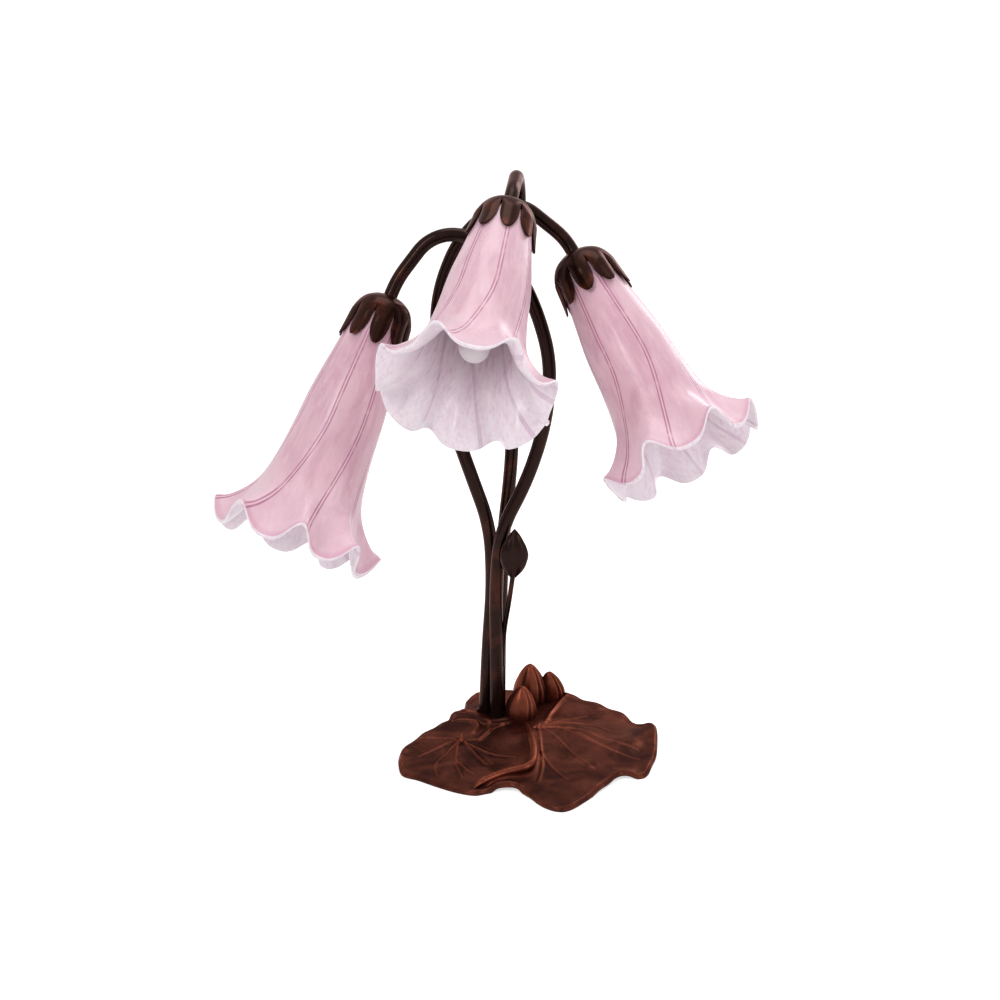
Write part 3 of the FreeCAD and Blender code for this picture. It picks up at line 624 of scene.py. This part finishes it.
VEIN_WIDTH = 0.85               # from its middle to where a third of its height is left
FOLD_HEIGHT = 1.3
FOLD_WIDTH = 1.6
LIP_SWELL = 1.5                 # broad rise of the pad on both sides of the lip
LIP_SWELL_WIDTH = 5.0
LIP_RADIUS = 3.1
EDGE_OUT = 0.25                 # how far the rounded rim stands out
LEFT_EYE = (-24.2, -39.8)
RIGHT_EYE = (30.5, -23.8)
VEINS = [
    [LEFT_EYE, (-35.6, -45.4), (-54.0, -57.0)], [LEFT_EYE, (-37.1, -35.6), (-52.8, -32.6)],
    [LEFT_EYE, (-33.0, -55.0), (-41.6, -71.1), (-40.0, -84.6)],
    [LEFT_EYE, (-26.8, -50.5), (-27.1, -72.7), (-22.9, -87.8)],
    [(-27.0, -66.0), (-21.7, -77.0), (-15.0, -84.6)], [LEFT_EYE, (-14.0, -58.3), (-5.9, -72.7)],
    [LEFT_EYE, (-16.7, -47.7), (-0.6, -59.6), (12.7, -64.0)],
    [LEFT_EYE, (-11.5, -38.0), (-0.7, -21.8), (6.1, -17.1)],
    [RIGHT_EYE, (53.7, -22.9), (71.0, -32.2), (98.7, -47.5)],
    [RIGHT_EYE, (39.9, -33.5), (60.4, -68.4), (66.6, -78.7)],
    [RIGHT_EYE, (31.3, -41.5), (32.4, -75.0), (29.4, -96.6)],
    [(32.0, -58.0), (37.7, -75.0), (49.1, -94.3)],
    [RIGHT_EYE, (53.9, -13.5), (81.0, -21.6)], [RIGHT_EYE, (45.8, -12.4), (65.3, -1.6)],
    [(47.0, -23.5), (61.5, -34.6), (85.0, -52.6), (99.3, -59.7)],
]
FOLDS = [
    [(-28.3, 1.4), (-18.7, 0.8), (-10.3, -6.5), (-4.1, -18.4), (-6.1, -31.3), (-11.4, -40.4)],
    [(-16.9, -30.0), (-12.3, -20.7), (-14.4, -14.2), (-21.2, -11.7), (-30.9, -10.5)],
    [(36.1, -17.1), (39.2, -0.4), (46.5, 16.8), (53.5, 27.0)],
    [(-23.1, 18.0), (-17.6, 30.5), (-12.0, 33.6), (-0.8, 40.1)],
]
LIP = [(21.8, -19.5, 16.2), (24.9, -44.1, 16.0), (26.5, -66.0, 13.6), (23.0, -83.0, 11.5),
       (6.0, -89.5, 9.0),
       (-8.4, -98.5, 6.6), (-15.0, -106.0, 4.4)]
BUDS = [((17.7, -1.6, 13), (18.7, -5.6, 39.3), 11.3), ((24.9, 26.8, 13), (24.7, 19.8, 46.4), 12.5),
        ((41.8, 32.2, 13), (38.2, 22.5, 39.2), 9.6)]
BUD_PROFILE = [(0.0, 0.92), (0.2, 1.0), (0.45, 0.90), (0.68, 0.67), (0.84, 0.42), (0.94, 0.22),
               (1.0, 0.02)]
BUD_SEAMS = (-58, -30, -6, 24, 150)     # turn from the right-hand side towards the back, degrees
BUD_TWIST = 0.35                # radians from foot to tip
PAD_CENTRE = (14.0, -34.0)
PAD_COLUMNS = 900
PAD_ROWS = 110


def from_line(x, y, line):
    """Distance of each point from a bent line, and how far along it the nearest spot is."""
    best = np.full(x.shape, 1e9)
    place = np.zeros(x.shape)
    lengths = [hypot(b[0] - a[0], b[1] - a[1]) for a, b in zip(line, line[1:])]
    passed = 0.0
    for (ax, ay), (bx, by), length in zip([p[:2] for p in line], [p[:2] for p in line[1:]], lengths):
        t = np.clip(((x - ax) * (bx - ax) + (y - ay) * (by - ay)) / length ** 2, 0, 1)
        d = np.hypot(x - ax - t * (bx - ax), y - ay - t * (by - ay))
        nearer = d < best
        best = np.where(nearer, d, best)
        place = np.where(nearer, (passed + t * length) / sum(lengths), place)
        passed += length
    return best, place


def smooth_line(line, steps=10):
    return [tuple(along(line, i / (steps * (len(line) - 1)))) for i in range(steps * (len(line) - 1) + 1)]


def soft(low, high, x):
    t = np.clip((x - low) / (high - low), 0, 1)
    return t * t * (3 - 2 * t)


def pad_surface(x, y):
    """Height of the pads, and a mark of how far each spot shows worn patina and painted highlight."""
    total = np.zeros(x.shape)
    weights = np.zeros(x.shape)
    for px, py, pz in RIM + BLADE:
        weight = 1 / (np.hypot(px - x, py - y) + 1.0) ** 3
        total += weight * pz
        weights += weight
    height = total / weights
    # The mark lightens raised veins and folds: worn patina, partly a painted highlight
    wear_and_highlight = np.zeros(x.shape)
    for line in VEINS:
        d, place = from_line(x, y, smooth_line(line, 6))
        high = VEIN_HEIGHT * (1 - 0.7 * place)
        height += high * np.exp(-(d / VEIN_WIDTH) ** 2) - 0.22 * np.exp(-((d - 2.2) / 1.4) ** 2)
        wear_and_highlight = np.maximum(wear_and_highlight, 0.7 * (1 - 0.6 * place) * np.exp(-(d / 0.7) ** 2))
    for line in FOLDS:
        d, place = from_line(x, y, smooth_line(line, 8))
        fold = FOLD_HEIGHT * np.exp(-(d / FOLD_WIDTH) ** 2)
        height += fold * soft(0, 0.1, place) * (1 - soft(0.9, 1, place))
        wear_and_highlight = np.maximum(wear_and_highlight, 0.5 * np.exp(-(d / 1.3) ** 2))
    d, place = from_line(x, y, smooth_line([p[:2] for p in LIP], 8))
    fade = soft(0, 0.12, place) * (1 - soft(0.86, 1, place))
    height += LIP_SWELL * np.exp(-(d / LIP_SWELL_WIDTH) ** 2) * fade
    # Painted highlight and wear along the broad swell beside the rolled lip
    wear_and_highlight = np.maximum(wear_and_highlight, 0.35 * np.exp(-(d / 4.0) ** 2) * fade)
    away = np.hypot(x - BOSS[0], y - BOSS[1])
    mound = 1 - soft(BOSS_RADIUS - 3, BOSS_RADIUS + 2.5, away)
    height = height * (1 - mound) + np.maximum(height, BOSS_TOP) * mound
    return height, wear_and_highlight


def closed_curve(points, count):
    """Even samples of a smooth closed curve."""
    n = len(points)
    out = []
    for i in range(count):
        t = i * n / count
        k, u = int(t), t - int(t)
        a, b, c, d = (points[(k + o) % n] for o in (-1, 0, 1, 2))
        out.append([0.5 * (2 * b[q] + (c[q] - a[q]) * u + (2 * a[q] - 5 * b[q] + 4 * c[q] - d[q]) * u * u
                           + (3 * b[q] - a[q] - 3 * c[q] + d[q]) * u ** 3) for q in (0, 1)])
    return np.array(out)


def lip_radius(t):
    """Radius of the rolled lip, which fades at both ends."""
    return LIP_RADIUS * (1 - 0.2 * t) * min(1.0, 0.25 + 5 * t) * min(1.0, 0.02 + 6 * (1 - t))


def make_pads():
    edge = closed_curve(RIM, PAD_COLUMNS)
    centre = np.array(PAD_CENTRE)
    shares = np.array([1 - (1 - i / PAD_ROWS) ** 1.25 for i in range(PAD_ROWS + 1)])
    shares[0] = 0.002
    grid = centre + (edge - centre)[None] * shares[:, None, None]
    x, y = grid[..., 0], grid[..., 1]
    height, wear_and_highlight = pad_surface(x, y)
    inward = np.hypot(x - edge[None, :, 0], y - edge[None, :, 1])
    height += 0.7 * np.exp(-((inward - 2.2) / 2.0) ** 2) - 1.1 * np.exp(-(inward / 1.1) ** 2)
    # Painted highlight and wear in a thin band just inside the rim
    wear_and_highlight = np.maximum(wear_and_highlight, 0.16 * np.exp(-((inward - 1.5) / 1.5) ** 2))
    low = np.maximum(height - PAD_WALL, 0.3)
    top = np.stack([x, y, height], -1).reshape(-1, 3)
    lip = edge + (edge - centre) / np.linalg.norm(edge - centre, axis=1)[:, None] * EDGE_OUT
    side = np.concatenate([lip, ((height[-1] + low[-1]) / 2)[:, None]], 1)
    under = np.stack([x, y, low], -1)[::-1].reshape(-1, 3)
    points = np.concatenate([top, side, under]).tolist()
    rows = 2 * (PAD_ROWS + 1) + 1
    # The rim's side gets a faint painted highlight and wear; the underside none
    marks = np.concatenate([wear_and_highlight.reshape(-1), np.full(PAD_COLUMNS, 0.1), np.zeros(under.shape[0])])
    faces = closed_grid(rows, PAD_COLUMNS)
    columns = 96
    for centre_x, centre_y, radius, high in [(*BOSS, BOSS_RADIUS, BOSS_TOP - 1.0)] + PILLARS:
        start = len(points)
        for z in (COVER_TOP, high):
            points += [[centre_x + radius * cos(TURN * k / columns),
                        centre_y + radius * sin(TURN * k / columns), z] for k in range(columns)]
        faces += [tuple(v + start for v in f) for f in closed_grid(2, columns)]
    marks = np.concatenate([marks, np.zeros(len(points) - len(marks))])
    pieces = [(points, faces, marks.tolist())]
    rolled, rolled_faces = tube(smooth_line(LIP, 6), lip_radius, 160, 28)
    # The rolled lip gets an even painted highlight, partly worn patina
    pieces.append(([list(p) for p in rolled], rolled_faces, [0.45] * len(rolled)))
    for foot, tip, radius in BUDS:
        pieces.append(bud_piece(Vector(foot), Vector(tip), radius))
    all_points, all_faces, all_marks = [], [], []
    for some_points, some_faces, some_marks in pieces:
        start = len(all_points)
        all_points += some_points
        all_faces += [tuple(v + start for v in f) for f in some_faces]
        all_marks += some_marks
    base = mesh_piece("lily_pad_foot", all_points, all_faces, CASTING)
    attribute = base.data.attributes.new("wear_and_highlight", "FLOAT", "POINT")
    attribute.data.foreach_set("value", all_marks)
    settle(base, "stand", "cast_patina", "base_casting")


def bud_piece(foot, tip, radius):
    """Closed bud of overlapping sepals with a twist of grooves."""
    axis = (tip - foot)
    length = axis.length
    axis.normalize()
    back = (Vector((0, 1, 0)) - axis * axis.y).normalized()
    right = back.cross(axis)
    rows, columns = 60, 144
    points, marks = [], []
    for i in range(rows + 1):
        t = i / rows
        r = radius * spline(BUD_PROFILE, t)
        for k in range(columns):
            angle = TURN * k / columns
            away = min(abs((angle - radians(turn) - BUD_TWIST * t + pi) % TURN - pi)
                       for turn in BUD_SEAMS)
            seam = exp(-(away / 0.085) ** 2) * smooth_step(0.02, 0.12, t) * (1 - smooth_step(0.88, 1.0, t))
            ridge = exp(-((away - 0.22) / 0.10) ** 2) * smooth_step(0.1, 0.3, t)
            reach = r + 0.35 * ridge - 1.0 * seam
            across = right * cos(angle) + back * sin(angle)
            points.append(list(foot + axis * length * t + across * max(0.02, reach)))
            # Ridges and the top half of the bud lighten: worn patina and painted highlight; the seams keep their
            # dark patina
            sepal_wear_and_highlight = 0.35 + 0.35 * ridge + 0.25 * smooth_step(0.5, 1.0, t) - 0.6 * seam
            marks.append(max(0.0, sepal_wear_and_highlight))
    return points, closed_grid(rows + 1, columns), marks


# ---- Scene ---------------------------------------------------------------------------
CAMERA_DISTANCE = 1.650
CAMERA_RISE = 17.0
CAMERA_TARGET = Vector((0.003, 0.0, 0.17647))
MM_PER_PIXEL = 0.70
PHOTO_WIDTH = 1000
SENSOR = 36.0
FLOOR_SIZE = 6.0
FLOOR_GLOW = 0.62               # what brings the lit floor up to white where it is seen directly
AMBIENT = 0.45                  # strength of the world as a light; it is seen at 1


def make_camera():
    data = bpy.data.cameras.new("camera")
    data.sensor_width = SENSOR
    data.sensor_fit = "HORIZONTAL"
    data.lens = SENSOR * CAMERA_DISTANCE / MM / (MM_PER_PIXEL * PHOTO_WIDTH)
    camera = bpy.data.objects.new("camera", data)
    rise = radians(CAMERA_RISE)
    camera.location = CAMERA_TARGET + Vector((0, -cos(rise), sin(rise))) * CAMERA_DISTANCE
    camera.rotation_euler = (pi / 2 - rise, 0, 0)
    data.clip_end = 50
    bpy.context.scene.collection.objects.link(camera)
    bpy.context.scene.camera = camera


def seen_directly(nodes, links):
    """1 for rays from the camera, off gloss and through glass, and 0 for all others."""
    path = nodes.new("ShaderNodeLightPath")
    onward = math_node(nodes, links, "MAXIMUM", path.outputs["Is Glossy Ray"],
                       path.outputs["Is Transmission Ray"])
    return math_node(nodes, links, "MAXIMUM", path.outputs["Is Camera Ray"], onward)


def make_floor():
    size = FLOOR_SIZE
    mesh = bpy.data.meshes.new("floor")
    corners = [(-size, -size, 0), (size, -size, 0), (size, size, 0), (-size, size, 0)]
    mesh.from_pydata(corners, [], [(0, 1, 2, 3)])
    floor = bpy.data.objects.new("floor", mesh)
    bpy.context.scene.collection.objects.link(floor)
    material, nodes, links, shader = new_material("floor")
    shader.inputs["Base Color"].default_value = (0.92, 0.92, 0.92, 1)
    shader.inputs["Roughness"].default_value = 0.9
    glow = nodes.new("ShaderNodeEmission")
    glow.inputs["Color"].default_value = (1, 1, 1, 1)
    both = nodes.new("ShaderNodeAddShader")
    links.new(shader.outputs["BSDF"], both.inputs[0])
    seen = seen_directly(nodes, links)
    links.new(times(nodes, links, seen, FLOOR_GLOW), glow.inputs["Strength"])
    links.new(glow.outputs["Emission"], both.inputs[1])
    links.new(both.outputs["Shader"], nodes["Material Output"].inputs["Surface"])
    mesh.materials.append(material)


def make_world():
    world = bpy.data.worlds.new("world")
    bpy.context.scene.world = world
    world.use_nodes = True
    nodes, links = world.node_tree.nodes, world.node_tree.links
    background = nodes["Background"]
    seen = seen_directly(nodes, links)
    strength = math_node(nodes, links, "MULTIPLY_ADD", seen, 1 - AMBIENT, AMBIENT)
    background.inputs["Color"].default_value = (1, 1, 1, 1)
    links.new(strength, background.inputs["Strength"])


# Place, size and watts of each soft lamp.
LAMPS = {
    "key": ((-0.9, -1.3, 1.3), (0.26, 1.0), 11), "fill": ((1.3, -0.9, 0.7), (0.2, 1.2), 5.5),
    "top": ((0.1, 0.3, 1.6), (0.9, 0.9), 7), "back": ((0.9, 1.2, 0.9), (0.4, 1.0), 6),
}
LAMPS_AIM = Vector((0, -0.02, 0.22))


def make_lights():
    for name, (place, size, power) in LAMPS.items():
        data = bpy.data.lights.new(name, "AREA")
        data.shape = "RECTANGLE"
        data.size, data.size_y = size
        data.energy = power
        light = bpy.data.objects.new(name, data)
        light.location = place
        light.rotation_euler = (LAMPS_AIM - Vector(place)).to_track_quat("-Z", "Y").to_euler()
        bpy.context.scene.collection.objects.link(light)


dress_nodes()
for head_name in HEADS:
    make_shade(head_name)
    make_bulb(head_name)
    make_cap(head_name)
make_leaf_bud()
make_pads()
make_camera()
make_floor()
make_world()
make_lights()
bpy.context.scene.view_settings.view_transform = "Standard"
